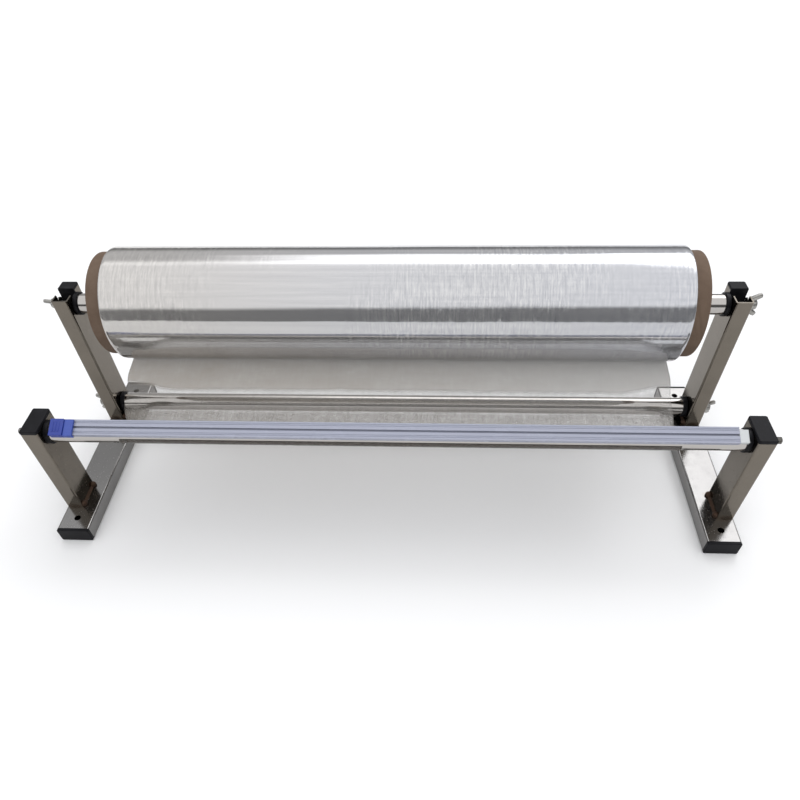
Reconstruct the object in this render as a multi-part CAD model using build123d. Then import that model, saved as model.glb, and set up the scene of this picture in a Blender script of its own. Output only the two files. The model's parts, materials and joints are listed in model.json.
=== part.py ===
"""Counter-top cling film dispenser: two welded end frames, a lift-out film shaft, a guide
roller and a front bar that carries a slide cutter.  Millimetres, +Z up, -Y is the side the
film is pulled to.  Origin: middle of the overall length and depth, on the counter."""

import math
import os

from build123d import *

# ---------------------------------------------------------------- driving dimensions
# Rectangular tube of the end frames
TUBE_WIDE = 30.0
TUBE_NARROW = 15.0
TUBE_WALL = 1.2
TUBE_CORNER = 1.6

# End frames
OUTER_HALF = 310.0          # outer faces of the posts and bases
BASE_LENGTH = 207.6         # with both end caps
FRONT_POST_Y = 43.5         # post centres, measured back from the front of the base
REAR_POST_Y = 163.0
FRONT_POST_TOP = 115.0      # top of the cap
REAR_POST_TOP = 161.5       # top of the tube
SLOT_CLEAR = 0.4            # the shaft's rod to the plate behind it in the open slot
HOLE_RADIUS = 3.0
HOLE_FROM_END = 15.0

# Welds at the inner foot of each post
WELD_LEG = 2.0
BLOB_RADIUS = 3.0
BLOB_RISE = 1.0
BLOB_FROM_CORNER = 3.2

# Black plastic caps
CAP_FLANGE = 3.0
CAP_PLUG_DEPTH = 10.0
POST_CAP_PLUG = 5.0
HALF_CAP_FLANGE = 2.2
HALF_CAP_PLUG = 14.0
HALF_CAP_LIP = 1.2          # full-width plate over the cut wall edges in the slot
CAP_FIT = 0.05

# Bars: the same round tube, end plugs and threaded rod three times.  Plain nuts hold the front
# bar, which stays put, and wing nuts hold the two that come out.
BAR_RADIUS = 9.0
BAR_WALL = 1.0
PLUG_RADIUS = 10.5
PLUG_FLANGE = 4.0
PLUG_DEPTH = 14.0
ROD_RADIUS = 3.0
ROD_PAST_WING_NUT = 0.2
ROD_PAST_HEX_NUT = 6.5
HEX_NUT_LENGTH = 5.0
HEX_NUT_WALL = 2.0          # from the rod to a flat
FRONT_BAR_Z = 101.4
GUIDE_CLEAR = 1.5           # guide roller's plugs above the base tubes
SHAFT_Z = 150.0
NUT_LENGTH = 9.0
NUT_WALL = 1.8
NUT_FLANGE_RIM = 1.2        # how far the flange stands out past the nut's body
NUT_FLANGE_THICK = 1.6
WING_SPREAD = 6.6           # how far the wings reach past the nut's body
WING_TIP = 12.3             # how far the wings lean out, from the nut's seat
WING_THICK = 3.4

# Film roll
CORE_RADIUS = 45.5
CORE_WALL = 7.5
CORE_HALF = 263.0
FILM_RADIUS = 50.25
FILM_HALF = 250.0
HUB_DEPTH = 22.0
HUB_RECESS = 4.0
HUB_DISH_RADIUS = 30.0
HUB_DISH_DEPTH = 6.0
HUB_BOSS_RADIUS = 14.0

# Slide cutter, in the section plane of the front bar before it is tilted forward
TRACK_HALF_WIDTH = 7.0
TRACK_TOP = 12.0
TRACK_UNDER = 7.2
TRACK_TILT = 25.0
CHANNEL_HALF = 3.3
CHANNEL_FLOOR = 9.8
CHANNEL_ROOF = 11.0
TRACK_SLOT_HALF = 0.9
END_STOP_LENGTH = 7.5
RAIL_LEFT_SHORT = 5.0       # from the left plug's flange to the rail
SLIDER_LENGTH = 19.3
SLIDER_GUARD_LENGTH = 7.7
SLIDER_BACK = 6.2
BODY_THICK = 3.4
GUARD_THICK = 2.2
SKIRT_THICK = 1.4
SKIRT_DEPTH = 2.6           # below the rail's top
RIB_HEIGHT = 0.6
RIB_WIDTH = 1.2
RIB_PITCH = 2.6
SHOE_LENGTH = 12.0
SHOE_START = 3.7            # from the slider's left end
BLADE_THICK = 1.0

# Film stretched from the roll to the front bar
WEB_THICK = 0.2
WEB_PEEL_ANGLE = 30.0       # where it leaves the roll, forward of the roll's lowest line
WEB_START_ANGLE = 5.0
WEB_WRAP_END = 98.0         # where it stops on the front of the bar, from the lowest line
WEB_HALF_AT_ROLL = 249.5
WEB_HALF_AT_MIDDLE = 244.0
WEB_LEFT_AT_BAR = 230.0
WEB_RIGHT_AT_BAR = 240.0

# Clearances
GAP = 0.3                   # between pieces that move past each other
RUNNING = 0.1               # radial, on a shaft
WEB_GAP = 0.4               # film sheet to the turning roll
WEB_ON_BAR = 0.05           # film sheet to the bar it clings to

# ---------------------------------------------------------------- derived positions
Y_MIDDLE = (REAR_POST_Y + FILM_RADIUS) / 2
POST_X = OUTER_HALF - TUBE_NARROW / 2
BASE_X = OUTER_HALF - TUBE_WIDE / 2
INNER_HALF = OUTER_HALF - TUBE_NARROW
FRONT_Y = FRONT_POST_Y - Y_MIDDLE
REAR_Y = REAR_POST_Y - Y_MIDDLE
BASE_FRONT = -Y_MIDDLE
BASE_REAR = BASE_LENGTH - Y_MIDDLE
BASE_Y = (BASE_FRONT + BASE_REAR) / 2
TUBE_LENGTH = BASE_LENGTH - 2 * CAP_FLANGE
GUIDE_Z = TUBE_NARROW + PLUG_RADIUS + GUIDE_CLEAR
ROD_HALF = OUTER_HALF + GAP + NUT_LENGTH + ROD_PAST_WING_NUT
FRONT_ROD_HALF = OUTER_HALF + GAP + HEX_NUT_LENGTH + ROD_PAST_HEX_NUT
NUT_RADIUS = ROD_RADIUS + NUT_WALL
NUT_FLANGE_RADIUS = NUT_RADIUS + NUT_FLANGE_RIM
WING_REACH = NUT_RADIUS + WING_SPREAD
SLOT_RADIUS = ROD_RADIUS + SLOT_CLEAR + HALF_CAP_LIP
SLOT_FLOOR = SHAFT_Z - ROD_RADIUS - GAP
SLOT_CENTRE = SLOT_FLOOR + SLOT_RADIUS      # below this the slot is a half circle

SIDES = {"left": -1, "right": 1}
BARS = {
    "front_bar": (FRONT_Y, FRONT_BAR_Z),
    "guide_roller": (REAR_Y, GUIDE_Z),
    "shaft": (REAR_Y, SHAFT_Z),
}
# Where each nut has come to rest, degrees about X from wings upright
NUT_TURNS = {
    "front_bar": {"left": 10, "right": 20},
    "guide_roller": {"left": 6, "right": 18},
    "shaft": {"left": 44, "right": 1},
}


def save(shape, name):
    """Write one sub-component."""
    export_step(shape, f"parts/{name}.step")


def along_x(radius, x_from, x_to, y, z):
    """Round bar lying along X."""
    middle = (x_from + x_to) / 2
    return Pos(middle, y, z) * Rot(0, 90, 0) * Cylinder(radius, abs(x_to - x_from))


def box_between(low, high):
    """Box from one corner to the opposite one."""
    size = [b - a for a, b in zip(low, high)]
    centre = [(a + b) / 2 for a, b in zip(low, high)]
    return Pos(*centre) * Box(*size)


def rounded_bar(width, depth, length, radius):
    """Bar with rounded long edges, standing on the origin along +Z."""
    return extrude(RectangleRounded(width, depth, radius), length)


def rectangular_tube(width, depth, length):
    """Square-cut rectangular tube, standing on the origin along +Z."""
    outer = rounded_bar(width, depth, length, TUBE_CORNER)
    inner = rounded_bar(
        width - 2 * TUBE_WALL, depth - 2 * TUBE_WALL, length, TUBE_CORNER - TUBE_WALL
    )
    return outer - inner


def tube_cap(width, depth, flange, plug):
    """Push-in cap: flange from z=0 up, plug below it."""
    top = rounded_bar(width, depth, flange, TUBE_CORNER)
    top = fillet(top.edges().group_by(Axis.Z)[-1], 0.8)
    inset = 2 * TUBE_WALL + 2 * CAP_FIT
    insert = Pos(0, 0, -plug) * rounded_bar(width - inset, depth - inset, plug, 0.35)
    return top + insert


def base_tube(side):
    """Tube along Y with a bolt hole near each end."""
    tube = Rot(-90, 0, 0) * rectangular_tube(TUBE_WIDE, TUBE_NARROW, TUBE_LENGTH)
    tube = Pos(side * BASE_X, BASE_FRONT + CAP_FLANGE, TUBE_NARROW / 2) * tube
    for y in (BASE_FRONT + HOLE_FROM_END, BASE_REAR - HOLE_FROM_END):
        tube -= Pos(side * BASE_X, y, TUBE_NARROW / 2) * Cylinder(HOLE_RADIUS, 2 * TUBE_NARROW)
    return tube


def base_cap(side, end):
    """Cap on the front (-1) or rear (+1) end of a base tube."""
    cap = Rot(-90 * end, 0, 0) * tube_cap(TUBE_WIDE, TUBE_NARROW, CAP_FLANGE, CAP_PLUG_DEPTH)
    y = BASE_Y + end * TUBE_LENGTH / 2
    return Pos(side * BASE_X, y, TUBE_NARROW / 2) * cap


def front_post(side):
    """Upright for the front bar, drilled across for its rod."""
    height = FRONT_POST_TOP - CAP_FLANGE - TUBE_NARROW
    post = Pos(side * POST_X, FRONT_Y, TUBE_NARROW) * rectangular_tube(
        TUBE_NARROW, TUBE_WIDE, height
    )
    hole = along_x(ROD_RADIUS, side * POST_X - 20, side * POST_X + 20, FRONT_Y, FRONT_BAR_Z)
    return post - hole


def rear_post(side):
    """Upright with an open-topped slot for the shaft and a hole for the guide roller."""
    x = side * POST_X
    height = REAR_POST_TOP - TUBE_NARROW
    post = Pos(x, REAR_Y, TUBE_NARROW) * rectangular_tube(TUBE_NARROW, TUBE_WIDE, height)
    post -= along_x(SLOT_RADIUS, x - 20, x + 20, REAR_Y, SLOT_CENTRE)
    post -= box_between(
        (x - 20, REAR_Y - SLOT_RADIUS, SLOT_CENTRE),
        (x + 20, REAR_Y + SLOT_RADIUS, REAR_POST_TOP + 5),
    )
    return post - along_x(ROD_RADIUS, x - 20, x + 20, REAR_Y, GUIDE_Z)


def rear_half_cap(side):
    """Half cap that closes the prong behind the slot."""
    prong = REAR_Y + SLOT_RADIUS
    front = prong - HALF_CAP_LIP
    rear = REAR_Y + TUBE_WIDE / 2
    x = side * POST_X
    top = box_between(
        (x - TUBE_NARROW / 2, front, REAR_POST_TOP),
        (x + TUBE_NARROW / 2, rear, REAR_POST_TOP + HALF_CAP_FLANGE),
    )
    top = fillet(top.edges().filter_by(Axis.Z).group_by(Axis.Y)[-1], TUBE_CORNER)
    top = fillet(top.edges().group_by(Axis.Z)[-1], 0.7)
    inner = TUBE_NARROW / 2 - TUBE_WALL - CAP_FIT
    insert = box_between(
        (x - inner, prong, REAR_POST_TOP - HALF_CAP_PLUG),
        (x + inner, rear - TUBE_WALL - CAP_FIT, REAR_POST_TOP),
    )
    insert = fillet(insert.edges().filter_by(Axis.Z).group_by(Axis.Y)[-1], 0.4)
    lip = box_between(
        (x - TUBE_NARROW / 2, front, SLOT_CENTRE),
        (x + TUBE_NARROW / 2, prong, REAR_POST_TOP),
    )
    return top + insert + lip


def foot_weld(side, post_y):
    """Weld along the inner foot of a post, with a blob at each corner."""
    face = side * INNER_HALF
    triangle = Polygon((0, 0), (WELD_LEG, 0), (0, WELD_LEG), align=None)
    bead = extrude(Plane.XZ * triangle, TUBE_WIDE - WELD_LEG)
    if side > 0:
        bead = mirror(bead, Plane.YZ)
    weld = Pos(face, post_y + (TUBE_WIDE - WELD_LEG) / 2, TUBE_NARROW) * bead
    for corner in (-1, 1):
        blob_y = post_y + corner * (TUBE_WIDE / 2 - BLOB_FROM_CORNER)
        blob = Pos(face - side * 0.6, blob_y, TUBE_NARROW + BLOB_RISE) * Sphere(BLOB_RADIUS)
        weld += blob
    clear_of_post = box_between(
        (min(face, face + side * 20), post_y - 30, 0), (max(face, face + side * 20), post_y + 30, 60)
    )
    clear_of_base = box_between(
        (face - 20, post_y - 30, TUBE_NARROW - 20), (face + 20, post_y + 30, TUBE_NARROW)
    )
    return weld - clear_of_post - clear_of_base


def bar_tube(half, y, z):
    """Round tube along X."""
    return along_x(BAR_RADIUS, -half, half, y, z) - along_x(
        BAR_RADIUS - BAR_WALL, -half, half, y, z
    )


def bar_plug(side, face, y, z, bore):
    """Flanged end plug; its outer face is at x = side * face."""
    inner = face - PLUG_FLANGE
    flange = along_x(PLUG_RADIUS, side * inner, side * face, y, z)
    outer_edges = flange.edges().filter_by(GeomType.CIRCLE)
    flange = fillet(outer_edges, 0.6)
    insert = along_x(BAR_RADIUS - BAR_WALL - CAP_FIT, side * (inner - PLUG_DEPTH), side * inner, y, z)
    hole = along_x(bore, side * (inner - PLUG_DEPTH - 1), side * (face + 1), y, z)
    return flange + insert - hole


def rod(half, y, z):
    """Threaded rod along X with chamfered ends."""
    bar = along_x(ROD_RADIUS, -half, half, y, z)
    return chamfer(bar.edges().filter_by(GeomType.CIRCLE), 0.8)


def beside_post(nut, side, y, z, turn):
    """Bore a nut that stands on the origin and seat it just outside a post."""
    nut -= Cylinder(ROD_RADIUS + RUNNING, 60)
    return Pos(side * (OUTER_HALF + GAP), y, z) * Rot(turn, 0, 0) * Rot(0, 90 * side, 0) * nut


def hex_nut(side, y, z, turn):
    """Plain nut with its outer corners chamfered."""
    flats = RegularPolygon(ROD_RADIUS + HEX_NUT_WALL, 6, major_radius=False)
    nut = extrude(flats, HEX_NUT_LENGTH)
    nut = chamfer(nut.edges().group_by(Axis.Z)[-1], 0.5)
    return beside_post(nut, side, y, z, turn)


def wing_nut(side, y, z, turn):
    """Nut with two flat wings that lean outwards."""
    flange = Pos(0, 0, NUT_FLANGE_THICK / 2) * Cylinder(NUT_FLANGE_RADIUS, NUT_FLANGE_THICK)
    body = Pos(0, 0, NUT_LENGTH / 2) * Cylinder(NUT_RADIUS, NUT_LENGTH)
    body = chamfer(body.edges().group_by(Axis.Z)[-1], 1.0)
    outline = Polygon(
        (NUT_RADIUS - 1.2, 1.2),
        (NUT_RADIUS - 1.2, 6.4),
        (WING_REACH - 4.0, WING_TIP - 0.7),
        (WING_REACH - 3.2, WING_TIP),
        (WING_REACH - 0.8, WING_TIP - 0.7),
        (WING_REACH, WING_TIP - 1.9),
        (WING_REACH - 2.8, 4.6),
        (NUT_RADIUS + 1.4, 1.8),
        align=None,
    )
    wing = extrude(Plane.XZ * outline, WING_THICK / 2, both=True)
    nut = flange + body + wing + mirror(wing, Plane.YZ)
    return beside_post(nut, side, y, z, turn)


def ring(outer, inner, half, y, z):
    """Plain sleeve along X, centred on the middle plane."""
    return along_x(outer, -half, half, y, z) - along_x(inner, -half, half, y, z)


def core_hub(side):
    """Plug that centres the paper core on the shaft tube."""
    face = CORE_HALF - HUB_RECESS
    hub = along_x(CORE_RADIUS - CORE_WALL, side * (face - HUB_DEPTH), side * face, REAR_Y, SHAFT_Z)
    hub = chamfer(hub.edges().filter_by(GeomType.CIRCLE), 1.0)
    dish_floor = face - HUB_DISH_DEPTH
    dish = along_x(HUB_DISH_RADIUS, side * dish_floor, side * (face + 1), REAR_Y, SHAFT_Z)
    boss = along_x(HUB_BOSS_RADIUS, side * (dish_floor - 1), side * (face + 2), REAR_Y, SHAFT_Z)
    hole = along_x(BAR_RADIUS + RUNNING, side * (face - 40), side * (face + 10), REAR_Y, SHAFT_Z)
    return hub - (dish - boss) - hole


def on_bar(section_faces, x_from, x_to):
    """Extrude a section drawn around the front bar's axis, tilted forward, along X."""
    solid = extrude(section_faces, x_to - x_from)
    stood = Plane.YZ.location * solid
    return Pos(x_from, FRONT_Y, FRONT_BAR_Z) * Rot(TRACK_TILT, 0, 0) * stood


def section(low, high):
    """Rectangle in the bar's section plane."""
    centre = Pos((low[0] + high[0]) / 2, (low[1] + high[1]) / 2)
    return centre * Rectangle(high[0] - low[0], high[1] - low[1])


def cutter_track(x_from, x_to):
    """Rail with a saddle for the bar and an undercut channel for the slider."""
    profile = section((-TRACK_HALF_WIDTH, TRACK_UNDER), (TRACK_HALF_WIDTH, TRACK_TOP))
    profile -= Circle(BAR_RADIUS)
    profile -= section((-CHANNEL_HALF, CHANNEL_FLOOR), (CHANNEL_HALF, CHANNEL_ROOF))
    profile -= section((-TRACK_SLOT_HALF, CHANNEL_FLOOR), (TRACK_SLOT_HALF, TRACK_TOP + 1))
    for y in (-5.2, -3.9, 3.9, 5.2):
        profile -= section((y - 0.3, TRACK_TOP - 0.35), (y + 0.3, TRACK_TOP + 1))
    return on_bar(profile, x_from, x_to)


def channel_plug(x_from, x_to):
    """Stop pressed into the channel at the left end of the rail."""
    profile = section((-CHANNEL_HALF, CHANNEL_FLOOR), (CHANNEL_HALF, CHANNEL_ROOF))
    profile += section((-TRACK_SLOT_HALF, CHANNEL_ROOF), (TRACK_SLOT_HALF, TRACK_TOP))
    return on_bar(profile, x_from, x_to)


def end_stop(x_from, x_to):
    """Clear block at the right end of the rail."""
    profile = section((-6.4, TRACK_UNDER), (5.0, TRACK_TOP - 0.8)) - Circle(BAR_RADIUS)
    return on_bar(profile, x_from, x_to)


def slider_parts(x_from):
    """Slider as (name, solid) pairs, starting at its left end."""
    underside = TRACK_TOP + GAP
    front = -TRACK_HALF_WIDTH - GAP
    split = x_from + SLIDER_LENGTH - SLIDER_GUARD_LENGTH
    end = x_from + SLIDER_LENGTH
    skirt = front - SKIRT_THICK
    top = underside + BODY_THICK
    body = section((front, underside), (SLIDER_BACK, top))
    body += section((skirt, TRACK_TOP - SKIRT_DEPTH), (front, top))
    body_solid = on_bar(body, x_from, split)
    for i in range(3):
        rib_x = x_from + 2 * RIB_WIDTH + RIB_PITCH * i
        rib = section((-5.5, top), (4.4, top + RIB_HEIGHT))
        body_solid += on_bar(rib, rib_x, rib_x + RIB_WIDTH)
    guard = section((front, underside), (SLIDER_BACK, underside + GUARD_THICK))
    guard += section((skirt, TRACK_TOP - SKIRT_DEPTH), (front, underside + GUARD_THICK))
    shoe = section(
        (-CHANNEL_HALF + GAP, CHANNEL_FLOOR + GAP), (CHANNEL_HALF - GAP, CHANNEL_ROOF - GAP)
    )
    shoe_from = x_from + SHOE_START
    half_blade = BLADE_THICK / 2
    blade = section((-half_blade, CHANNEL_ROOF - GAP), (half_blade, underside))
    return [
        ("slider_body", body_solid),
        ("slider_guard", on_bar(guard, split, end)),
        ("slider_shoe", on_bar(shoe, shoe_from, shoe_from + SHOE_LENGTH)),
        ("slider_blade", on_bar(blade, shoe_from + 1, shoe_from + SHOE_LENGTH - 1)),
    ]


def web_path():
    """Inner line of the stretched film, as (y, z) points from the roll to the front bar."""
    points = []
    reach = FILM_RADIUS + WEB_GAP
    steps = 10
    for i in range(steps + 1):
        angle = WEB_START_ANGLE + (WEB_PEEL_ANGLE - WEB_START_ANGLE) * i / steps
        a = math.radians(angle)
        points.append((REAR_Y - reach * math.sin(a), SHAFT_Z - reach * math.cos(a)))
    peel_y, peel_z = points[-1]
    run = peel_y - FRONT_Y
    rise = peel_z - FRONT_BAR_Z
    distance = math.hypot(run, rise)
    wrap = BAR_RADIUS + WEB_ON_BAR
    slope = math.degrees(math.atan2(rise, run) + math.asin(wrap / distance))
    steps = 18
    for i in range(steps + 1):
        angle = -slope + (WEB_WRAP_END + slope) * i / steps
        a = math.radians(angle)
        points.append((FRONT_Y - wrap * math.sin(a), FRONT_BAR_Z - wrap * math.cos(a)))
    return points


def offset_path(points, distance):
    """Path moved sideways, away from the roll and the bar."""
    moved = []
    last = len(points) - 1
    for i, (y, z) in enumerate(points):
        before = points[max(i - 1, 0)]
        after = points[min(i + 1, last)]
        dy = after[0] - before[0]
        dz = after[1] - before[1]
        length = math.hypot(dy, dz)
        moved.append((y + distance * dz / length, z - distance * dy / length))
    return moved


def film_web():
    """Sheet of film from under the roll to the front bar, a little narrower at the bar."""
    inner = web_path()
    down = offset_path(inner, -WEB_THICK)
    outline = inner + down[::-1]
    face = Polygon(*outline, align=None)
    half = WEB_HALF_AT_ROLL + 1
    sheet = Pos(-half, 0, 0) * (Plane.YZ.location * extrude(face, 2 * half))
    middle_y = (FRONT_Y + REAR_Y) / 2 - 10
    back = REAR_Y + 10
    plan = Polygon(
        (-WEB_HALF_AT_ROLL, back),
        (-WEB_HALF_AT_ROLL, REAR_Y - 25),
        (-WEB_HALF_AT_MIDDLE, middle_y),
        (-WEB_LEFT_AT_BAR, FRONT_Y),
        (-WEB_LEFT_AT_BAR, FRONT_Y - 20),
        (WEB_RIGHT_AT_BAR, FRONT_Y - 20),
        (WEB_RIGHT_AT_BAR, FRONT_Y),
        (WEB_HALF_AT_MIDDLE, middle_y),
        (WEB_HALF_AT_ROLL, REAR_Y - 25),
        (WEB_HALF_AT_ROLL, back),
        align=None,
    )
    return sheet & extrude(plan, 200)


def bar_assembly(name, face, plug_bore, rod_half):
    """Tube, two plugs and a rod."""
    y, z = BARS[name]
    save(bar_tube(face - PLUG_FLANGE, y, z), f"{name}_tube")
    for side_name, side in SIDES.items():
        save(bar_plug(side, face, y, z, plug_bore), f"{name}_{side_name}_plug")
    save(rod(rod_half, y, z), f"{name}_rod")


def main():
    os.makedirs("parts", exist_ok=True)

    for side_name, side in SIDES.items():
        save(base_tube(side), f"{side_name}_base_tube")
        save(base_cap(side, -1), f"{side_name}_base_front_cap")
        save(base_cap(side, 1), f"{side_name}_base_rear_cap")
        save(front_post(side), f"{side_name}_front_post")
        save(rear_post(side), f"{side_name}_rear_post")
        cap = tube_cap(TUBE_NARROW, TUBE_WIDE, CAP_FLANGE, POST_CAP_PLUG)
        cap_place = Pos(side * POST_X, FRONT_Y, FRONT_POST_TOP - CAP_FLANGE)
        save(cap_place * cap, f"{side_name}_front_post_cap")
        save(rear_half_cap(side), f"{side_name}_rear_post_cap")
        save(foot_weld(side, FRONT_Y), f"{side_name}_front_weld")
        save(foot_weld(side, REAR_Y), f"{side_name}_rear_weld")
        save(core_hub(side), f"{side_name}_core_hub")
        for bar, (y, z) in BARS.items():
            make, kind = (hex_nut, "hex_nut") if bar == "front_bar" else (wing_nut, "wing_nut")
            save(make(side, y, z, NUT_TURNS[bar][side_name]), f"{bar}_{side_name}_{kind}")

    # The front bar is clamped between the posts; the other two stand clear of them.
    bar_assembly("front_bar", INNER_HALF, ROD_RADIUS, FRONT_ROD_HALF)
    bar_assembly("guide_roller", INNER_HALF - GAP, ROD_RADIUS + RUNNING, ROD_HALF)
    bar_assembly("shaft", INNER_HALF - GAP, ROD_RADIUS, ROD_HALF)

    save(ring(CORE_RADIUS, CORE_RADIUS - CORE_WALL, CORE_HALF, REAR_Y, SHAFT_Z), "paper_core")
    save(ring(FILM_RADIUS, CORE_RADIUS, FILM_HALF, REAR_Y, SHAFT_Z), "film_roll")
    save(film_web(), "film_web")

    rail_left = -(INNER_HALF - PLUG_FLANGE - RAIL_LEFT_SHORT)
    rail_right = INNER_HALF - PLUG_FLANGE - END_STOP_LENGTH
    save(cutter_track(rail_left, rail_right), "cutter_track")
    save(channel_plug(rail_left, rail_left + 3), "track_channel_stop")
    save(end_stop(rail_right, rail_right + END_STOP_LENGTH), "track_end_stop")
    for name, solid in slider_parts(rail_left):
        save(solid, name)


main()
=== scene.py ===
# %% [markdown]
# # A cling film dispenser
# Two welded steel end frames hold three round bars: a shaft with a wide roll of clear film, a
# low guide roller, and a front bar with a slide cutter on a pale blue rail.  A sheet of film
# runs from the roll to the front bar.  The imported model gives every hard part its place, so
# this lesson adds finishes, and new meshes where the real thing is thin, threaded or creased.

import json
import math

import bmesh
import bpy
from mathutils import Matrix, Vector, noise


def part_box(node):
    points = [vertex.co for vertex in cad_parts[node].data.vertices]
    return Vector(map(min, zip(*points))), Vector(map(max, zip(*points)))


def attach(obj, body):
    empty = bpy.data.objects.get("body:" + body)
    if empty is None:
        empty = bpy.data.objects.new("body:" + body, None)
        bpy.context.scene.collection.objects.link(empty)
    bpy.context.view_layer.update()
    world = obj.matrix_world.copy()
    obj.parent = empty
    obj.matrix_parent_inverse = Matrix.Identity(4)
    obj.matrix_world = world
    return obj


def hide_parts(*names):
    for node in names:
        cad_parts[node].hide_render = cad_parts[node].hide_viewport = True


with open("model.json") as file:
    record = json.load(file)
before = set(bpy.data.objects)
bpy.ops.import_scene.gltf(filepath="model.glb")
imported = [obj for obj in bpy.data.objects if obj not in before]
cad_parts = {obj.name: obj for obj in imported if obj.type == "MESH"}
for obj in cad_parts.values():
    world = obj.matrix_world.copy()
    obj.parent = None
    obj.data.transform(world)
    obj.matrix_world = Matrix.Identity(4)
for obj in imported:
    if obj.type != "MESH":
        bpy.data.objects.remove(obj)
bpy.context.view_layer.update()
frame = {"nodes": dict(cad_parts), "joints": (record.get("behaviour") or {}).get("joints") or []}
nodes = frame["nodes"]
print("packed parts:", len(nodes))


# %% [markdown]
# Sizes come from the parts themselves.  A node's box gives its middle and its reach, so a new
# mesh is placed from these and never from guessed numbers.

# %% Read places from the parts
MM = 0.001


def middle(node):
    """Centre of a part's box."""
    low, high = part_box(node)
    return (low + high) / 2


roll_centre = middle("film_roll")
roll_low, roll_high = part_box("film_roll")
roll_radius = (roll_high.z - roll_low.z) / 2
core_low, core_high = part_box("paper_core")
core_radius = (core_high.z - core_low.z) / 2
bar_centre = middle("front_bar_tube")
bar_low, bar_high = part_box("front_bar_tube")
bar_radius = (bar_high.z - bar_low.z) / 2
base_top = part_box("left_base_tube")[1].z
post_x = middle("right_front_post").x
post_ys = [middle("right_front_post").y, middle("right_rear_post").y]
post_half_depth = (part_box("right_front_post")[1].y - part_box("right_front_post")[0].y) / 2
print("roll radius", round(roll_radius, 4), "bar radius", round(bar_radius, 4))


# %% [markdown]
# ## Shader maths as plain Python
# A finish is easier to read as an expression than as a list of linked nodes.  `Value` wraps one
# socket and overloads the operators, so `1 - mask * 0.5` adds its own Math nodes.  `Finish`
# holds one material; its `node` method makes any other node, settings first, sockets after.

# %% A wrapped socket
class Value:
    """One number-valued socket that takes part in Python arithmetic."""

    def __init__(self, tree, socket):
        self.tree = tree
        self.socket = socket

    def maths(self, operation, *values):
        made = self.tree.nodes.new("ShaderNodeMath")
        made.operation = operation
        for slot, value in zip(made.inputs, values):
            feed(self.tree, slot, value)
        return Value(self.tree, made.outputs[0])

    def __add__(self, other):
        return self.maths("ADD", self, other)

    def __radd__(self, other):
        return self.maths("ADD", other, self)

    def __sub__(self, other):
        return self.maths("SUBTRACT", self, other)

    def __rsub__(self, other):
        return self.maths("SUBTRACT", other, self)

    def __mul__(self, other):
        return self.maths("MULTIPLY", self, other)

    def __truediv__(self, other):
        return self.maths("DIVIDE", self, other)

    def __pow__(self, other):
        return self.maths("POWER", self, other)

    def __abs__(self):
        return self.maths("ABSOLUTE", self)

    def least(self, other):
        return self.maths("MINIMUM", self, other)

    def step(self, low, high):
        """0 below low and 1 above high, smooth between; high may be the smaller one."""
        made = self.tree.nodes.new("ShaderNodeMapRange")
        made.interpolation_type = "SMOOTHSTEP"
        swapped = high < low
        feed(self.tree, made.inputs["Value"], self)
        feed(self.tree, made.inputs["From Min"], min(low, high))
        feed(self.tree, made.inputs["From Max"], max(low, high))
        feed(self.tree, made.inputs["To Min"], 1.0 if swapped else 0.0)
        feed(self.tree, made.inputs["To Max"], 0.0 if swapped else 1.0)
        return Value(self.tree, made.outputs["Result"])


def feed(tree, slot, value):
    """Link a Value or a socket, or set a plain number, colour or vector."""
    if isinstance(value, Value):
        tree.links.new(value.socket, slot)
    elif isinstance(value, bpy.types.NodeSocket):
        tree.links.new(value, slot)
    else:
        slot.default_value = value


print("shader maths ready")


# %% [markdown]
# `Finish` starts every material in the same way: a Principled shader, and the Object
# coordinates of the piece, which stay put on the surface because every object sits at the
# origin.

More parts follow.
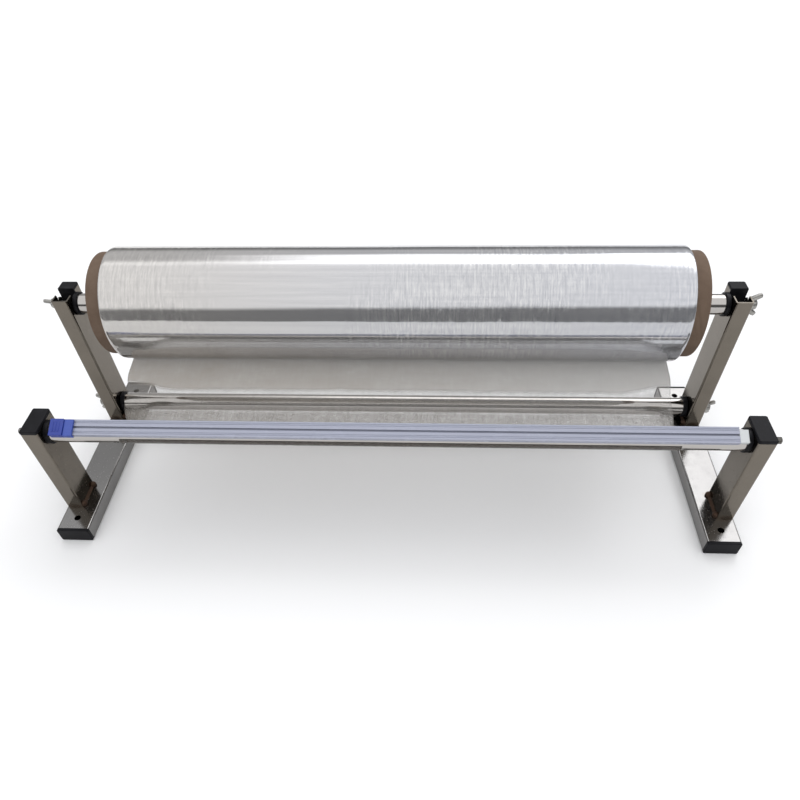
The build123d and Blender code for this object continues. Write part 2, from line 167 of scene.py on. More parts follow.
# %% One material
class Finish:
    """A procedural material built from expressions."""

    def __init__(self, name, **constants):
        self.material = bpy.data.materials.new(name)
        self.material.use_nodes = True
        self.tree = self.material.node_tree
        self.surface = self.tree.nodes["Principled BSDF"]
        self.give(**constants)
        self.here = self.node("ShaderNodeTexCoord").outputs["Object"]

    def give(self, **sockets):
        """Set or link sockets of the surface, written with _ for a space."""
        for name, value in sockets.items():
            feed(self.tree, self.surface.inputs[name.replace("_", " ")], value)

    def node(self, kind, settings=None, **sockets):
        """Any node: its settings first, then its sockets by name."""
        made = self.tree.nodes.new(kind)
        for name, value in (settings or {}).items():
            setattr(made, name, value)
        for name, value in sockets.items():
            feed(self.tree, made.inputs[name.replace("_", " ")], value)
        return made

    def axes(self, centre=(0, 0, 0)):
        """The three coordinates in millimetres, measured from a point."""
        moved = self.node(
            "ShaderNodeMapping",
            Vector=self.here,
            Location=[-c / MM for c in centre],
            Scale=(1 / MM, 1 / MM, 1 / MM),
        )
        split = self.node("ShaderNodeSeparateXYZ", Vector=moved.outputs[0])
        return [Value(self.tree, out) for out in split.outputs]

    def join(self, x, y, z):
        return self.node("ShaderNodeCombineXYZ", X=x, Y=y, Z=z).outputs[0]

    def grain(self, where, size, detail=3.0, roughness=0.5, distortion=0.0):
        """Noise from 0 to 1 whose blobs are about `size` across, in the units of `where`."""
        made = self.node(
            "ShaderNodeTexNoise",
            Vector=where,
            Scale=1.0 / size,
            Detail=detail,
            Roughness=roughness,
            Distortion=distortion,
        )
        return Value(self.tree, made.outputs["Fac"])

    def colours(self, amount, *stops):
        """Blend through (position, colour) stops."""
        made = self.tree.nodes.new("ShaderNodeValToRGB")
        ramp = made.color_ramp
        while len(ramp.elements) < len(stops):
            ramp.elements.new(0.5)
        for element, (position, colour) in zip(ramp.elements, stops):
            element.position = position
            element.color = (*colour, 1.0)
        feed(self.tree, made.inputs["Fac"], amount)
        return made.outputs["Color"]

    def mix(self, amount, first, second):
        """Blend two colours."""
        made = self.node("ShaderNodeMix", {"data_type": "RGBA"})
        feed(self.tree, made.inputs[0], amount)
        for slot, colour in ((made.inputs[6], first), (made.inputs[7], second)):
            feed(self.tree, slot, (*colour, 1.0) if isinstance(colour, tuple) else colour)
        return made.outputs[2]

    def relief(self, height, depth):
        """Bump from a height, whose full range stands for `depth` metres."""
        made = self.node("ShaderNodeBump", Strength=1.0, Distance=depth, Height=height)
        self.give(Normal=made.outputs[0])

    def on(self, *names):
        """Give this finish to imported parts."""
        for name in names:
            slots = nodes[name].data.materials
            slots.clear()
            slots.append(self.material)


print("finish class ready")


# %% [markdown]
# ## Floor, light and camera
# The floor is one plain pale sheet.  The light is a studio dome: a wide bright ceiling that
# reaches down in front to a soft, slanting edge, a dimmer wall behind with a lamp and a window in
# it, and dark low walls.  Polished steel and glossy film only look right when they have bright
# and dark things to mirror.  The plain Standard view keeps blacks black, where a film-like view
# greys them.

# %% Floor
def pale_floor():
    bm = bmesh.new()
    bmesh.ops.create_grid(bm, x_segments=1, y_segments=1, size=9.0)
    mesh = bpy.data.meshes.new("floor")
    bm.to_mesh(mesh)
    bm.free()
    floor = bpy.data.objects.new("floor", mesh)
    bpy.context.scene.collection.objects.link(floor)
    paint = Finish("floor_paint", Base_Color=(0.93, 0.93, 0.93, 1), Roughness=0.9)
    paint.give(**{"Specular_IOR_Level": 0.1})
    mesh.materials.append(paint.material)


pale_floor()
print("floor laid")


# %% Studio dome
DARK = 0.12
CEILING = 1.15
LOW_FRONT = 0.04
WALL = 0.55
LAMP = 2.2
WINDOW = 2.4
WINDOW_X, WINDOW_Z = 0.40, 0.68
FRONT_EDGE_SLANT = 9


def studio_dome():
    world = bpy.data.worlds.new("studio")
    bpy.context.scene.world = world
    world.use_nodes = True
    tree = world.node_tree
    background = tree.nodes["Background"]
    coordinates = tree.nodes.new("ShaderNodeTexCoord")
    split = tree.nodes.new("ShaderNodeSeparateXYZ")
    tree.links.new(coordinates.outputs["Generated"], split.inputs[0])
    x, y, z = [Value(tree, out) for out in split.outputs]
    # Angle in the section plane: 0 overhead, positive towards the back, in degrees.
    tilt = x.maths("ARCTAN2", y, z) * (180 / math.pi)
    front_edge = (tilt - x * FRONT_EDGE_SLANT).step(-68, -58)
    ceiling = abs(x).step(0.88, 0.68) * front_edge * tilt.step(42, 28)
    wall = y.step(0.3, 0.6) * z.step(0.1, 0.4)
    lamp = abs(x - 0.05).step(0.42, 0.10) * tilt.step(26, 34) * tilt.step(60, 50)
    front = y.step(0.0, -0.35) * z.step(0.62, 0.40)
    off_x, off_z = x - WINDOW_X, z - WINDOW_Z
    window = (off_x * off_x + off_z * off_z).step(0.06, 0.02) * y.step(0.0, 0.3)
    level = DARK + ceiling * CEILING + front * LOW_FRONT + wall * WALL
    level = level + lamp * LAMP + window * WINDOW
    feed(tree, background.inputs["Strength"], level)
    background.inputs["Color"].default_value = (0.98, 0.985, 1.0, 1)


studio_dome()
bpy.context.scene.view_settings.view_transform = "Standard"
print("dome lit")


# %% Camera
CAMERA_PLACE = Vector((0.03696, -0.44246, 0.49114))
CAMERA_YAW = math.radians(-4.575)
CAMERA_PITCH = math.radians(49.052)
CAMERA_ROLL = math.radians(-2.579)


def look():
    data = bpy.data.cameras.new("camera")
    data.sensor_width = 36.0
    data.lens = 29.03
    data.shift_x = 0.0021
    data.shift_y = 0.0921
    data.clip_start = 0.01
    camera = bpy.data.objects.new("camera", data)
    ahead = Vector(
        (
            math.sin(CAMERA_YAW) * math.cos(CAMERA_PITCH),
            math.cos(CAMERA_YAW) * math.cos(CAMERA_PITCH),
            -math.sin(CAMERA_PITCH),
        )
    )
    level = Vector((math.cos(CAMERA_YAW), -math.sin(CAMERA_YAW), 0))
    above = level.cross(ahead)
    right = level * math.cos(CAMERA_ROLL) + above * math.sin(CAMERA_ROLL)
    up = above * math.cos(CAMERA_ROLL) - level * math.sin(CAMERA_ROLL)
    turn = Matrix((right, up, -ahead)).transposed()
    camera.matrix_world = Matrix.Translation(CAMERA_PLACE) @ turn.to_4x4()
    bpy.context.scene.collection.objects.link(camera)
    bpy.context.scene.camera = camera


look()
print("camera at", [round(v, 3) for v in CAMERA_PLACE])


# %% [markdown]
# ## Finishes of the steel frame
# Polished stainless tube is almost a mirror.  What makes it read as steel is small: faint
# drawing lines along the tube, smudges that dull it, and brown heat colour next to a weld.

# %% Polished steel
HEAT_INSET = 3.2 * MM  # from a post's front and back faces
STRAW_SHARE, BROWN_SHARE = 0.25, 0.75


def polished_steel(name, along, tint):
    """Steel tube whose drawing lines run along one axis."""
    steel = Finish(name, Metallic=1.0)
    x, y, z = steel.axes()
    stretched = {"x": (0.01, 1, 1), "y": (1, 0.01, 1), "z": (1, 1, 0.01)}[along]
    lines_at = steel.join(*[v * k for v, k in zip((x, y, z), stretched)])
    lines = steel.grain(lines_at, 0.35, detail=4)
    smudges = steel.grain(steel.join(x, y, z), 16.0, detail=5, roughness=0.62)
    specks = steel.grain(steel.join(x, y, z), 1.6, detail=2)
    sides = abs(x) - post_x / MM
    nearest = None
    for post_y in post_ys:
        for end in (-1, 1):
            across = y - (post_y + end * (post_half_depth - HEAT_INSET)) / MM
            height = z - (base_top / MM + 1)
            far = (across * across + height * height + sides * sides * 0.2) ** 0.5
            nearest = far if nearest is None else nearest.least(far)
    ragged = nearest + (smudges - 0.5) * 6
    straw = ragged.step(6.5, 4)
    brown = ragged.step(4.5, 2.5)
    colour = steel.mix(smudges.step(0.35, 0.75) * 0.5, tint, tuple(c * 0.86 for c in tint))
    colour = steel.mix(straw * STRAW_SHARE, colour, (0.16, 0.11, 0.07))
    colour = steel.mix(brown * BROWN_SHARE, colour, (0.045, 0.03, 0.022))
    dull = 0.13 + (lines - 0.5) * 0.10 + smudges.step(0.45, 0.8) * 0.13 + brown * 0.3
    steel.give(Base_Color=colour, Roughness=dull + specks.step(0.66, 0.72) * 0.2)
    steel.relief(lines * 0.6 + smudges * 0.4, 0.00003)
    return steel


# The posts' tint is darker and browner than the bases' on the same steel: a painted darker
# reflection.
post_steel_painted_darker = polished_steel("post_steel_painted_darker", "z", (0.165, 0.146, 0.122))
base_steel = polished_steel("base_steel", "y", (0.245, 0.24, 0.235))
for side in ("left", "right"):
    post_steel_painted_darker.on(f"{side}_front_post", f"{side}_rear_post")
    base_steel.on(f"{side}_base_tube")
print("frame steel on posts and bases")


# %% [markdown]
# The welds are small rough beads, darkened by heat.

# %% Welds
def weld_metal():
    weld = Finish("weld_bead", Metallic=0.75)
    x, y, z = weld.axes()
    ripples = weld.grain(weld.join(x, y * 2.0, z), 1.1, detail=4, roughness=0.7)
    weld.give(
        Base_Color=weld.colours(
            ripples,
            (0.3, (0.03, 0.018, 0.013)),
            (0.55, (0.10, 0.06, 0.04)),
            (0.8, (0.2, 0.15, 0.11)),
        ),
        Roughness=0.35 + ripples * 0.4,
    )
    weld.relief(ripples, 0.0005)
    return weld


weld_metal().on(*[f"{s}_{e}_weld" for s in ("left", "right") for e in ("front", "rear")])
print("welds browned")


# %% [markdown]
# ## Black plastic
# The push-in caps are moulded with a fine matt grain; the round bar plugs are smoother.

# %% Caps and plugs
def black_plastic(name, grain_size, shine, depth):
    plastic = Finish(name)
    plastic.give(Specular_IOR_Level=0.09)
    x, y, z = plastic.axes()
    here = plastic.join(x, y, z)
    grain = plastic.grain(here, grain_size, detail=2)
    wear = plastic.grain(here, 9.0, detail=5, roughness=0.65)
    plastic.give(
        Base_Color=plastic.colours(
            wear,
            (0.25, (0.007, 0.007, 0.008)),
            (0.6, (0.012, 0.012, 0.014)),
            (0.85, (0.024, 0.024, 0.028)),
        ),
        Roughness=shine + (wear - 0.5) * 0.25 + (grain - 0.5) * 0.1,
    )
    plastic.relief(grain * 0.7 + wear * 0.3, depth)
    return plastic


cap_plastic = black_plastic("cap_plastic", 0.35, 0.42, 0.00006)
plug_plastic = black_plastic("plug_plastic", 0.6, 0.30, 0.00003)
hub_plastic = black_plastic("hub_plastic", 0.5, 0.45, 0.00006)
for side in ("left", "right"):
    ends = ("base_front_cap", "base_rear_cap", "front_post_cap", "rear_post_cap")
    cap_plastic.on(*[f"{side}_{end}" for end in ends])
    plug_plastic.on(*[f"{bar}_{side}_plug" for bar in ("front_bar", "guide_roller", "shaft")])
    hub_plastic.on(f"{side}_core_hub")
print("plastic on caps, plugs and hubs")


# %% [markdown]
# ## Bright round bars
# The three bars are thin-wall tubes with a mirror finish.  Faint scratches run round them where
# the film and the hubs have rubbed, and long drawing lines run along them.

# %% Mirror tube
def mirror_tube(name, tint):
    chrome = Finish(name, Metallic=1.0)
    x, y, z = chrome.axes()
    drawn = chrome.grain(chrome.join(x * 0.004, y, z), 0.5, detail=3)
    rubbed = chrome.grain(chrome.join(x, y * 0.08, z * 0.08), 0.9, detail=4, roughness=0.7)
    hazy = chrome.grain(chrome.join(x * 0.3, y, z), 14.0, detail=4)
    colour = chrome.mix(hazy.step(0.4, 0.8) * 0.6, tint, tuple(c * 0.84 for c in tint))
    chrome.give(
        Base_Color=colour,
        Roughness=0.07 + rubbed.step(0.55, 0.75) * 0.08 + hazy.step(0.5, 0.8) * 0.09,
    )
    chrome.relief(drawn * 0.7 + rubbed * 0.3, 0.00001)
    return chrome


bar_chrome = mirror_tube("bar_chrome", (0.44, 0.42, 0.40))
bar_chrome.on("front_bar_tube", "guide_roller_tube", "shaft_tube")
print("mirror finish on three tubes")


# %% [markdown]
# ## Threaded rods and nuts
# Each bar is held by a rod with a nut at both ends: plain nuts on the front bar, which stays
# put, and wing nuts on the two that come out.  Only the threaded ends show.  A spun saw-tooth
# profile gives real grooves that catch the light, and the wings are thick lugs with round edges.

# %% Turn a bmesh into a piece
def piece(name, bm, body, slot, finish, *stands_for, smooth_below=35.0):
    """Close a bmesh, make it an object and tie it to its body; slot is not used."""
    bmesh.ops.remove_doubles(bm, verts=bm.verts, dist=1e-7)
    bmesh.ops.recalc_face_normals(bm, faces=bm.faces)
    mesh = bpy.data.meshes.new(name)
    bm.to_mesh(mesh)
    bm.free()
    mesh.shade_smooth()
    mesh.set_sharp_from_angle(angle=math.radians(smooth_below))
    made = bpy.data.objects.new(name, mesh)
    bpy.context.scene.collection.objects.link(made)
    mesh.materials.append(finish.material)
    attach(made, body)
    if stands_for:
        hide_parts(*stands_for)
    return made


def spin_profile(bm, points, centre, steps):
    """Revolve (x, radius) points about a line along X through a centre."""
    verts = [bm.verts.new((x, centre.y, centre.z + r)) for x, r in points]
    edges = [bm.edges.new(pair) for pair in zip(verts, verts[1:])]
    bmesh.ops.spin(
        bm,
        geom=verts + edges,
        cent=centre,
        axis=(1, 0, 0),
        angle=math.tau,
        steps=steps,
        use_merge=True,
    )


print("piece helpers ready")

# %% Threaded rods
THREAD_PITCH = 1.0 * MM
THREAD_DEPTH = 0.54 * MM
THREAD_LENGTH = 26 * MM
END_CHAMFER = 0.8 * MM
END_CHAMFER_DEPTH = 0.9 * MM


def zinc():
    metal = Finish("zinc_thread", Metallic=1.0)
    x, y, z = metal.axes()
    stain = metal.grain(metal.join(x, y, z), 3.0, detail=4)
    metal.give(
        Base_Color=metal.colours(stain, (0.3, (0.24, 0.235, 0.22)), (0.7, (0.42, 0.41, 0.39))),
        Roughness=0.24 + stain * 0.2,
    )
    metal.relief(stain, 0.00002)
    return metal


zinc_metal = zinc()


def threaded_rod(bar, body):
    """Rod with saw-tooth grooves at both ends."""
    low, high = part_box(f"{bar}_rod")
    radius = (high.z - low.z) / 2
    centre = (low + high) / 2
    half = (high.x - low.x) / 2
    x = half - END_CHAMFER
    points = [(half, 0.0), (half, radius - END_CHAMFER_DEPTH), (x, radius)]
    while x > half - THREAD_LENGTH:
        points.append((x - THREAD_PITCH * 0.5, radius - THREAD_DEPTH))
        points.append((x - THREAD_PITCH * 0.92, radius))
        points.append((x - THREAD_PITCH, radius))
        x -= THREAD_PITCH
    points += [(-px, r) for px, r in reversed(points)]
    bm = bmesh.new()
    spin_profile(bm, points, centre, 28)
    return piece(
        f"{bar}_threaded_rod", bm, body, "zinc_thread", zinc_metal, f"{bar}_rod", smooth_below=28
    )


rod_bodies = {"front_bar": "frame", "guide_roller": "frame", "shaft": "shaft"}
for bar, body in rod_bodies.items():
    rod = threaded_rod(bar, body)
    print(rod.name, "faces", len(rod.data.polygons))

# %% Wing nuts
# In millimetres: (along the rod, radius) for the nut, (radius, along the rod) for a wing.
NUT_PROFILE = [(0.0, 3.15), (0.0, 5.8), (0.25, 6.0), (1.35, 6.0), (1.6, 5.8), (1.8, 5.1)]
NUT_PROFILE += [(2.6, 4.8), (7.6, 4.6), (8.6, 4.3), (9.0, 3.9), (9.0, 3.15), (0.0, 3.15)]
WING_OUTLINE = [(3.7, 1.2), (3.7, 6.2), (7.3, 11.3), (8.3, 12.2), (10.4, 11.5), (11.3, 10.4)]
WING_OUTLINE += [(10.6, 8.4), (8.6, 4.8), (7.4, 3.0), (6.2, 1.9)]
WING_THICK = 3.4
WING_ROUND = 1.1


def nickel():
    metal = Finish("nut_nickel", Metallic=1.0)
    x, y, z = metal.axes()
    cast = metal.grain(metal.join(x, y, z), 0.9, detail=3)
    stain = metal.grain(metal.join(x, y, z), 5.0, detail=4)
    metal.give(
        Base_Color=metal.colours(stain, (0.3, (0.22, 0.215, 0.20)), (0.7, (0.40, 0.39, 0.37))),
        Roughness=0.20 + cast * 0.18,
    )
    metal.relief(cast, 0.00004)
    return metal


nut_nickel = nickel()


def wing_nut(bar, side, turn):
    """Nut with two bevelled paddle wings, built along +X and then placed on its joint."""
    name = f"{bar}_{side}_wing_nut"
    joint = next(j for j in frame["joints"] if j["name"] == f"{bar}_{side}_nut_spin")
    bm = bmesh.new()
    spin_profile(bm, [(x * MM, r * MM) for x, r in NUT_PROFILE], Vector(), 36)
    for sign in (-1, 1):
        corners = [
            bm.verts.new((x * MM, -WING_THICK / 2 * MM, sign * r * MM)) for r, x in WING_OUTLINE
        ]
        side_face = bm.faces.new(corners)
        grown = bmesh.ops.extrude_face_region(bm, geom=[side_face])["geom"]
        moved = [g for g in grown if isinstance(g, bmesh.types.BMVert)]
        bmesh.ops.translate(bm, verts=moved, vec=(0, WING_THICK * MM, 0))
        rim = {e for v in corners + moved for e in v.link_edges}
        flat_rim = [e for e in rim if abs(e.verts[0].co.y - e.verts[1].co.y) < 1e-9]
        bmesh.ops.bevel(
            bm,
            geom=flat_rim,
            offset=WING_ROUND * MM,
            segments=3,
            profile=0.5,
            affect="EDGES",
            material=-1,
        )
    outward = -1 if side == "left" else 1
    spun = Matrix.Rotation(math.radians(turn * outward), 3, "X")
    bmesh.ops.rotate(bm, verts=bm.verts, matrix=spun)
    if side == "left":
        bmesh.ops.rotate(bm, verts=bm.verts, matrix=Matrix.Rotation(math.pi, 3, "Z"))
    bmesh.ops.translate(bm, verts=bm.verts, vec=joint["pos_m"])
    return piece(f"{name}_cast", bm, f"{bar}_{side}_nut", "nut_steel", nut_nickel, name)


NUT_TURNS = {"guide_roller": (6, 18), "shaft": (44, 1)}  # degrees, left and right
for bar, (left_turn, right_turn) in NUT_TURNS.items():
    for side, turn in (("left", left_turn), ("right", right_turn)):
        made = wing_nut(bar, side, turn)
nut_nickel.on("front_bar_left_hex_nut", "front_bar_right_hex_nut")
print("four wing nuts, faces each", len(made.data.polygons))


# %% [markdown]
# ## Paper core
# The core is brown board wound in a spiral, so slanting seams run round it, with fine fibres
# and scuffs where it has been handled.

# %% Board
SEAM_PITCH = 95.0


def brown_board():
    board = Finish("brown_board", Roughness=0.7, Specular_IOR_Level=0.15)
    x, y, z = board.axes(roll_centre)
    around = x.maths("ARCTAN2", y, z)
    turns = x / SEAM_PITCH + around / math.tau
    seam = turns.maths("FRACT", turns)
    seam_line = abs(seam - 0.5).step(0.02, 0.006)
    fibres = board.grain(board.join(x, around * 60, z * 0.2), 0.9, detail=5, roughness=0.7)
    blotch = board.grain(board.join(x, y, z), 22.0, detail=4)
    colour = board.colours(
        fibres * 0.55 + blotch * 0.45,
        (0.3, (0.105, 0.070, 0.050)),
        (0.5, (0.155, 0.108, 0.078)),
        (0.72, (0.205, 0.148, 0.108)),
    )
    colour = board.mix(seam_line * 0.2, colour, (0.08, 0.054, 0.038))
    board.give(Base_Color=colour, Roughness=0.55 + fibres * 0.3)
    board.relief(fibres * 0.5 - seam_line * 0.5, 0.00015)
    return board


brown_board().on("paper_core")
print("board on the core")


# %% [markdown]
# ## Wound film
# Hundreds of clear layers look milky, and the stack mirrors almost as metal does, which is why
# the plastic is mostly metallic here; one clear coat alone would look like glazed china.
# Trapped air and uneven tension leave ridges that run round the roll and small bubbles between
# them.  The left half is painted a little warmer and the right a little cooler, as a painted
# reflection tint.  The roll is spun from a finely divided line, then every point is drawn in a
# little by noise, so the ridges are real shape and stay inside the imported roll.

# %% Film plastic
def wound_film():
    film = Finish("wound_film", IOR=1.5, Metallic=0.78)
    x, y, z = film.axes(roll_centre)
    around = x.maths("ARCTAN2", y, z) * (roll_radius / MM)
    reach = (y * y + z * z) ** 0.5
    on_side = reach.step(roll_radius / MM - 1.2, roll_radius / MM - 0.4)
    streaks = film.grain(film.join(x, around * 0.07, 0.0), 1.6, detail=4, roughness=0.62)
    bands = film.grain(film.join(x, around * 0.02, 7.0), 14.0, detail=3)
    bubbles = film.grain(film.join(x, around * 0.45, 3.0), 3.2, detail=4, roughness=0.66)
    long_folds = film.grain(film.join(x * 0.03, around, 5.0), 5.0, detail=3)
    busy = film.grain(film.join(x * 0.5, around * 0.3, 11.0), 42.0, detail=2)
    busy = busy.step(0.38, 0.62)
    layers = film.grain(film.join(reach * 6.0, around * 0.02, x * 0.01), 1.0, detail=3)
    smears = film.grain(film.join(x * 0.025, around, 17.0), 3.4, detail=4, roughness=0.6)
    milky = 0.5 + (streaks - 0.5) * 0.9 * busy + (bubbles - 0.5) * 0.5 * busy
    milky = milky + (smears - 0.5) * 0.35
    colour = film.colours(
        milky,
        (0.2, (0.36, 0.365, 0.385)),
        (0.5, (0.52, 0.52, 0.53)),
        (0.85, (0.76, 0.75, 0.735)),
    )
    # Painted reflection tint: warmer towards the left, cooler towards the right.
    colour = film.mix(x.step(20, -250) * 0.45, colour, (0.56, 0.52, 0.46))
    colour = film.mix(x.step(60, 250) * 0.30, colour, (0.50, 0.52, 0.58))
    edge = film.colours(layers, (0.3, (0.30, 0.28, 0.26)), (0.7, (0.58, 0.57, 0.55)))
    rough = 0.07 + streaks.step(0.5, 0.8) * 0.10 * busy + bubbles.step(0.5, 0.7) * 0.16 * busy
    film.give(Base_Color=film.mix(on_side, edge, colour), Roughness=rough)
    height = streaks * 0.35 * (0.15 + busy) + bubbles * 0.40 * busy
    height = height + bands * 0.3 + long_folds * 0.18
    film.relief(height * on_side + layers * 0.4 * (1 - on_side), 0.00014)
    return film


film_plastic = wound_film()
print("film plastic mixed")

# %% Film roll
ROLL_RINGS = 200
ROLL_STEPS = 150
ROLL_EDGE = 0.5 * MM


def ridge(x, angle):
    """How far a point of the roll is drawn in, in metres."""
    rings = noise.noise(Vector((x / (5 * MM), 0.6 * math.cos(angle), 0.6 * math.sin(angle))))
    sags = noise.noise(Vector((x / (60 * MM) + 9, 1.3 * math.cos(angle), 1.3 * math.sin(angle))))
    return (0.035 * (1 + rings) + 0.16 * (1 + sags)) * MM


def film_roll():
    bm = bmesh.new()
    left, right = roll_low.x, roll_high.x
    soft, cut = ROLL_EDGE, 0.3 * ROLL_EDGE
    points = [(left, core_radius), (left, roll_radius - soft), (left + cut, roll_radius - cut)]
    for i in range(ROLL_RINGS + 1):
        points.append((left + soft + (right - left - 2 * soft) * i / ROLL_RINGS, roll_radius))
    points += [(right - cut, roll_radius - cut), (right, roll_radius - soft)]
    points += [(right, core_radius), points[0]]
    spin_profile(bm, points, roll_centre, ROLL_STEPS)
    for v in bm.verts:
        arm = Vector((v.co.y - roll_centre.y, v.co.z - roll_centre.z))
        if arm.length > core_radius + 1 * MM:
            arm *= 1 - ridge(v.co.x, math.atan2(arm.y, arm.x)) / arm.length
            v.co.y, v.co.z = roll_centre.y + arm.x, roll_centre.z + arm.y
    return piece(
        "film_roll_wound", bm, "roll", "wound_film", film_plastic, "film_roll", smooth_below=50
    )


roll = film_roll()
print("film roll faces", len(roll.data.polygons))


# %% [markdown]
# ## The stretched sheet
# One sheet of film clings to the roll as far as its lower front, then runs to the front bar,
# narrows a little under the pull, wraps under the bar and clings to its face.  The sheet is a
# grid laid on that path; pull lines and slack ripples are noise stretched along the pull.  It is
# cloudy near the roll, clear above the guide roller, and creased nearer the bar, where it is
# painted dark and more opaque as painted shade.  It is painted a little lighter towards the
# right.

# %% Path of the sheet
PEEL = math.radians(30)
HUG_FROM = math.radians(6)
WRAP_END = math.radians(96)
ROLL_REACH = roll_radius + 0.55 * MM
BAR_REACH = bar_radius + 0.16 * MM
HUG_STEPS, FREE_STEPS, WRAP_STEPS = 8, 60, 16


def beside(centre, reach, angle):
    """(y, z) of a point round a centre; 0 is below it and a quarter turn is in front."""
    return centre.y - reach * math.sin(angle), centre.z - reach * math.cos(angle)


def sheet_path():
    """(y, z) points from the roll to the face of the front bar."""
    points = []
    for i in range(HUG_STEPS + 1):
        angle = HUG_FROM + (PEEL - HUG_FROM) * i / HUG_STEPS
        points.append(beside(roll_centre, ROLL_REACH, angle))
    run = points[-1][0] - bar_centre.y
    rise = points[-1][1] - bar_centre.z
    slope = math.atan2(rise, run) + math.asin(BAR_REACH / math.hypot(run, rise))
    touch = beside(bar_centre, BAR_REACH, -slope)
    peel = points[-1]
    for i in range(1, FREE_STEPS):
        t = i / FREE_STEPS
        points.append((peel[0] + (touch[0] - peel[0]) * t, peel[1] + (touch[1] - peel[1]) * t))
    for i in range(WRAP_STEPS + 1):
        angle = -slope + (WRAP_END + slope) * i / WRAP_STEPS
        points.append(beside(bar_centre, BAR_REACH, angle))
    return points


path = sheet_path()
lengths = [0.0]
for (y0, z0), (y1, z1) in zip(path, path[1:]):
    lengths.append(lengths[-1] + math.hypot(y1 - y0, z1 - z0))
sheet_length = lengths[-1]
print("sheet length mm", round(sheet_length / MM, 1))


# %% Clear film
def clear_film():
    film = Finish("clear_film", IOR=1.5)
    x, y, z = film.axes(roll_centre)
    pulled = film.join(x, y * 0.12, z * 0.12)
    pulls = film.grain(pulled, 2.6, detail=4, roughness=0.6, distortion=0.4)
    slack = film.join(x * 0.35, y, z)
    ripples = film.grain(slack, 5.0, detail=4, roughness=0.55, distortion=0.8)
    patches = film.grain(film.join(x, y, z), 38.0, detail=3)
    near_ends = abs(x).step(195, 250)
    in_front = (y - near_ends * 9).step(-60, -67)
    ahead = y.step(-84, -91)
    painted_shade_on_bar = y.step(-106, -112)
    calm = patches * 0.7 + pulls * 0.15 + ripples * 0.15
    cloudy = calm * (1 - in_front) + (pulls * 0.4 + ripples * 0.4 + patches * 0.2) * in_front
    body = film.colours(
        cloudy, (0.3, (0.47, 0.42, 0.36)), (0.55, (0.53, 0.49, 0.44)), (0.75, (0.64, 0.61, 0.57))
    )
    # Painted light: the film is painted lighter towards the right.
    rightward = x.step(-250, 250)
    body = film.mix(rightward * 0.6, body, (0.66, 0.66, 0.65))
    # Painted shade: in front of the guide roller the film is painted dark, and on the bar darker
    # still.
    body = film.mix(in_front * 0.65, body, (0.17, 0.158, 0.143))
    uneven = (cloudy - 0.5) * (0.12 + in_front * 0.25 + ahead * 0.5)
    # Ahead of the guide roller and on the bar the dark film is made more opaque, deepening the
    # painted shade.
    film.give(
        Base_Color=film.mix(painted_shade_on_bar, body, (0.09, 0.075, 0.062)),
        Roughness=0.10 + ripples * 0.12,
        Alpha=0.66 + uneven - in_front * 0.48 + ahead * 0.34 + painted_shade_on_bar * 0.12,
    )
    film.relief((pulls * 0.55 + ripples * 0.45) * (0.12 + in_front * 0.88), 0.0008)
    return film


clear_plastic = clear_film()
print("clear film mixed")

# %% Sheet of film
ACROSS = 230
HALF_WIDTH = 249.4
# Share of the length, then the left and right edge in millimetres.
EDGE_STEPS = [(0.0, -HALF_WIDTH, HALF_WIDTH), (0.28, -248.5, 248.8), (0.55, -243.0, 244.5)]
EDGE_STEPS += [(0.84, -231.5, 240.5), (1.0, -230.0, 240.0)]
SKIN = 0.12 * MM


def edges_at(t):
    """Left and right edge of the sheet, in metres, at a share t of its length."""
    for (t0, l0, r0), (t1, l1, r1) in zip(EDGE_STEPS, EDGE_STEPS[1:]):
        if t <= t1:
            s = (t - t0) / (t1 - t0)
            s = s * s * (3 - 2 * s)
            return (l0 + (l1 - l0) * s) * MM, (r0 + (r1 - r0) * s) * MM
    return l1 * MM, r1 * MM


def film_sheet():
    bm = bmesh.new()
    rows = len(path) - 1
    bmesh.ops.create_grid(bm, x_segments=ACROSS, y_segments=rows, size=1.0)
    peel_length = lengths[HUG_STEPS]
    touch_length = lengths[HUG_STEPS + FREE_STEPS]
    for v in bm.verts:
        u = (v.co.x + 1) / 2
        row = round((v.co.y + 1) / 2 * rows)
        t = lengths[row] / sheet_length
        left, right = edges_at(t)
        x = left + (right - left) * u
        before, after = path[max(row - 1, 0)], path[min(row + 1, rows)]
        along = Vector((0, after[0] - before[0], after[1] - before[1])).normalized()
        outward = Vector((0, along.z, -along.y))
        free = min(max((lengths[row] - peel_length) / (30 * MM), 0), 1)
        free *= min(max((touch_length - lengths[row]) / (12 * MM), 0), 1)
        s = lengths[row]
        pull = noise.noise(Vector((x / (11 * MM), s / (150 * MM), 2.0)))
        fine = noise.noise(Vector((x / (4.5 * MM) + s / (60 * MM), s / (70 * MM), 8.0)))
        slack = noise.noise(Vector((x / (70 * MM), s / (45 * MM), 5.0)))
        lift = (0.55 * pull + 0.22 * fine + 1.5 * slack + 0.9) * free
        cling = (0.10 + 0.10 * fine) * (1 - free) if s > touch_length else 0.0
        v.co = Vector((x, path[row][0], path[row][1])) + outward * (lift - cling) * MM
    made = piece(
        "film_sheet", bm, "frame", "clear_film", clear_plastic, "film_web", smooth_below=80
    )
    skin = made.modifiers.new("skin", "SOLIDIFY")
    skin.thickness = SKIN
    skin.offset = 0.0
    return made


sheet = film_sheet()
print("sheet faces", len(sheet.data.polygons))


# %% [markdown]
# ## Slide cutter
# The rail is an extruded plastic strip with fine lines along it; the slider is moulded in two
# blues, with finger ribs.  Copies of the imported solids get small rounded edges, because a
# moulded edge always catches a thin line of light.

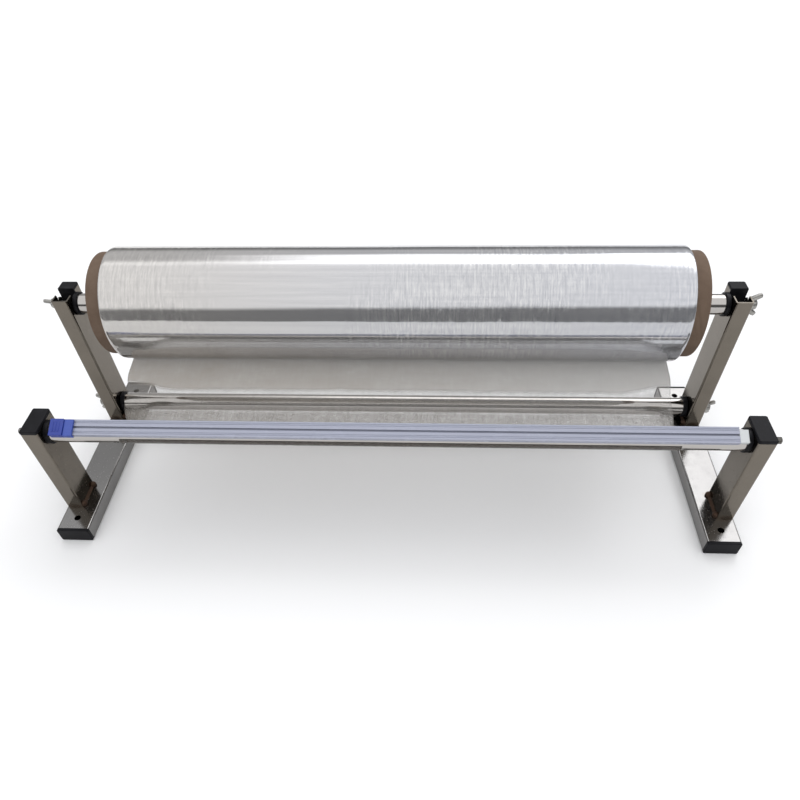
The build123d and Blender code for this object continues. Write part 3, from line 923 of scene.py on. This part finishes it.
# %% Rounded copies
def rounded_copy(node, body, slot, finish, width):
    """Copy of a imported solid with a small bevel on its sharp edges."""
    bm = bmesh.new()
    bm.from_mesh(nodes[node].data)
    bmesh.ops.remove_doubles(bm, verts=bm.verts, dist=1e-6)
    bmesh.ops.dissolve_limit(bm, angle_limit=math.radians(1), verts=bm.verts, edges=bm.edges)
    made = piece(f"{node}_moulded", bm, body, slot, finish, node, smooth_below=30)
    round_off = made.modifiers.new("round", "BEVEL")
    round_off.width = width
    round_off.segments = 2
    round_off.limit_method = "ANGLE"
    round_off.angle_limit = math.radians(40)
    return made


def moulded(name, colour, pale, shine, line_size=1.2, alpha=None):
    """Coloured plastic with faint flow lines along X."""
    plastic = Finish(name)
    x, y, z = plastic.axes()
    flow = plastic.grain(plastic.join(x * 0.01, y, z), line_size, detail=4, roughness=0.6)
    scuffs = plastic.grain(plastic.join(x * 0.25, y, z), 7.0, detail=5, roughness=0.7)
    plastic.give(
        Base_Color=plastic.mix(flow * 0.6 + scuffs * 0.4, colour, pale),
        Roughness=shine + (scuffs - 0.5) * 0.22,
    )
    if alpha is not None:
        plastic.give(Alpha=alpha)
    plastic.relief(flow * 0.6 + scuffs * 0.4, 0.00003)
    return plastic


rail_plastic = moulded(
    "rail_plastic", (0.32, 0.335, 0.41), (0.42, 0.44, 0.54), 0.26, line_size=0.7
)
slider_blue = moulded("slider_blue", (0.016, 0.036, 0.26), (0.03, 0.06, 0.35), 0.36)
slider_light = moulded("slider_light", (0.035, 0.07, 0.33), (0.055, 0.10, 0.44), 0.34)
stop_plastic = moulded("stop_plastic", (0.66, 0.69, 0.70), (0.82, 0.84, 0.84), 0.2, alpha=0.8)
rounded_copy("cutter_track", "frame", "rail_plastic", rail_plastic, 0.25 * MM)
rounded_copy("track_channel_stop", "frame", "rail_plastic", rail_plastic, 0.15 * MM)
rounded_copy("track_end_stop", "frame", "clear_stop", stop_plastic, 0.5 * MM)
rounded_copy("slider_body", "slider", "slider_blue", slider_blue, 0.35 * MM)
rounded_copy("slider_guard", "slider", "slider_light", slider_light, 0.35 * MM)
slider_blue.on("slider_shoe")
print("rail, stops and slider finished")


# %% Blade
def ground_steel():
    blade = Finish("ground_steel", Metallic=1.0, Base_Color=(0.7, 0.7, 0.72, 1))
    x, y, z = blade.axes()
    marks = blade.grain(blade.join(x, y * 0.1, z * 0.1), 0.2, detail=2)
    blade.give(Roughness=0.15 + marks * 0.2)
    blade.relief(marks, 0.00001)
    return blade


ground_steel().on("slider_blade")
print("blade ground")
